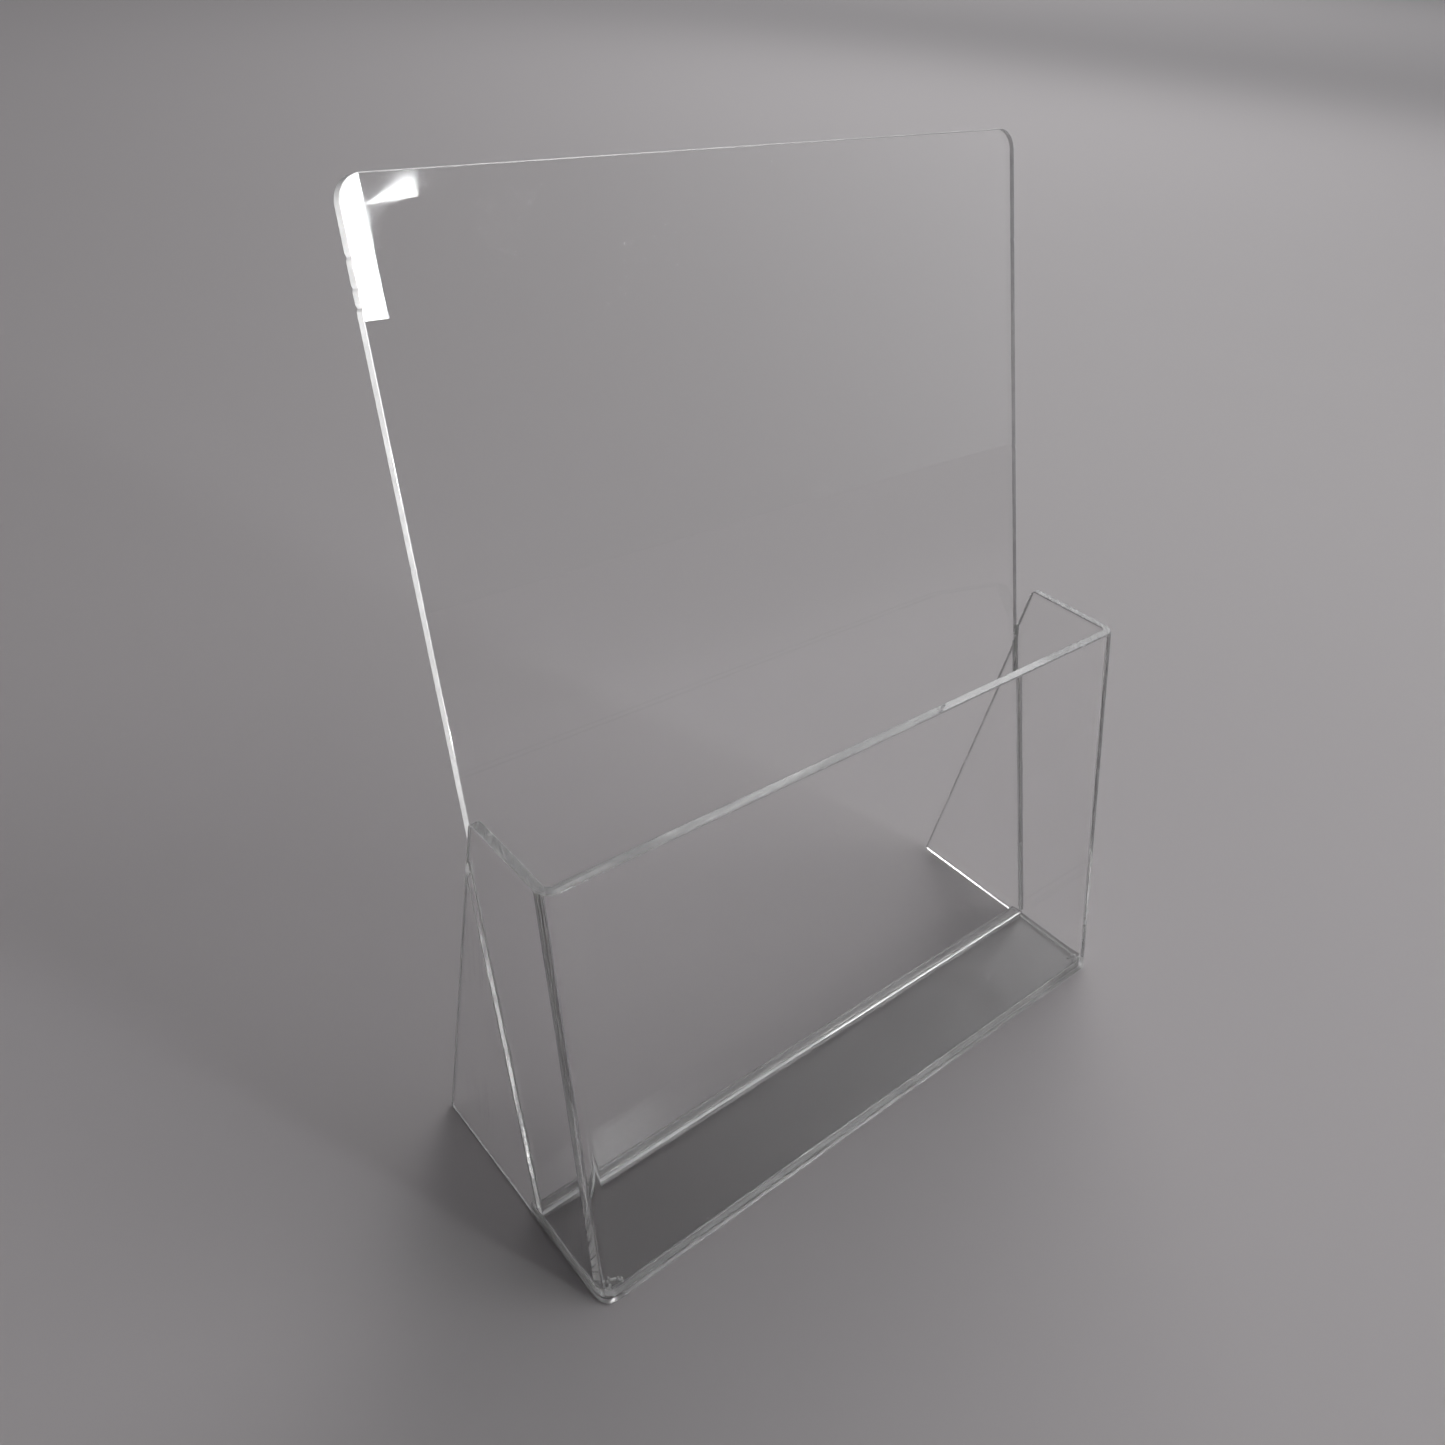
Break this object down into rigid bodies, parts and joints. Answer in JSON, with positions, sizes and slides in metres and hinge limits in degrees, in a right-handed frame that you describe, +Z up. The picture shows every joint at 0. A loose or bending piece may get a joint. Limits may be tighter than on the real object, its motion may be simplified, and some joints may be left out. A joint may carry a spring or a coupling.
{
  "type": "magazine rack",
  "caption": "Free-standing clear acrylic rack with a leaning back and a bent-sheet pocket that holds magazines upright, facing forward.",
  "frame": {"origin": "on the table, under the centre of the rack's bounding box", "axes": "+Z up, front of the pocket towards -Y, +X to the right of someone facing the rack's front looking along +Y"},
  "size_m": [0.226, 0.1132, 0.2733],
  "materials": {
    "wrap_acrylic": "clear polished acrylic sheet, heat bent, flame-polished edges",
    "back_acrylic": "clear polished acrylic sheet, flame-polished edges with a few small nicks",
    "floor_acrylic": "clear polished acrylic sheet, solvent-welded edges"
  },
  "bodies": {
    "root": {"pocket_wrap": "wrap_acrylic", "back_panel": "back_acrylic", "floor_plate": "floor_acrylic"}
  },
  "joints": []
}
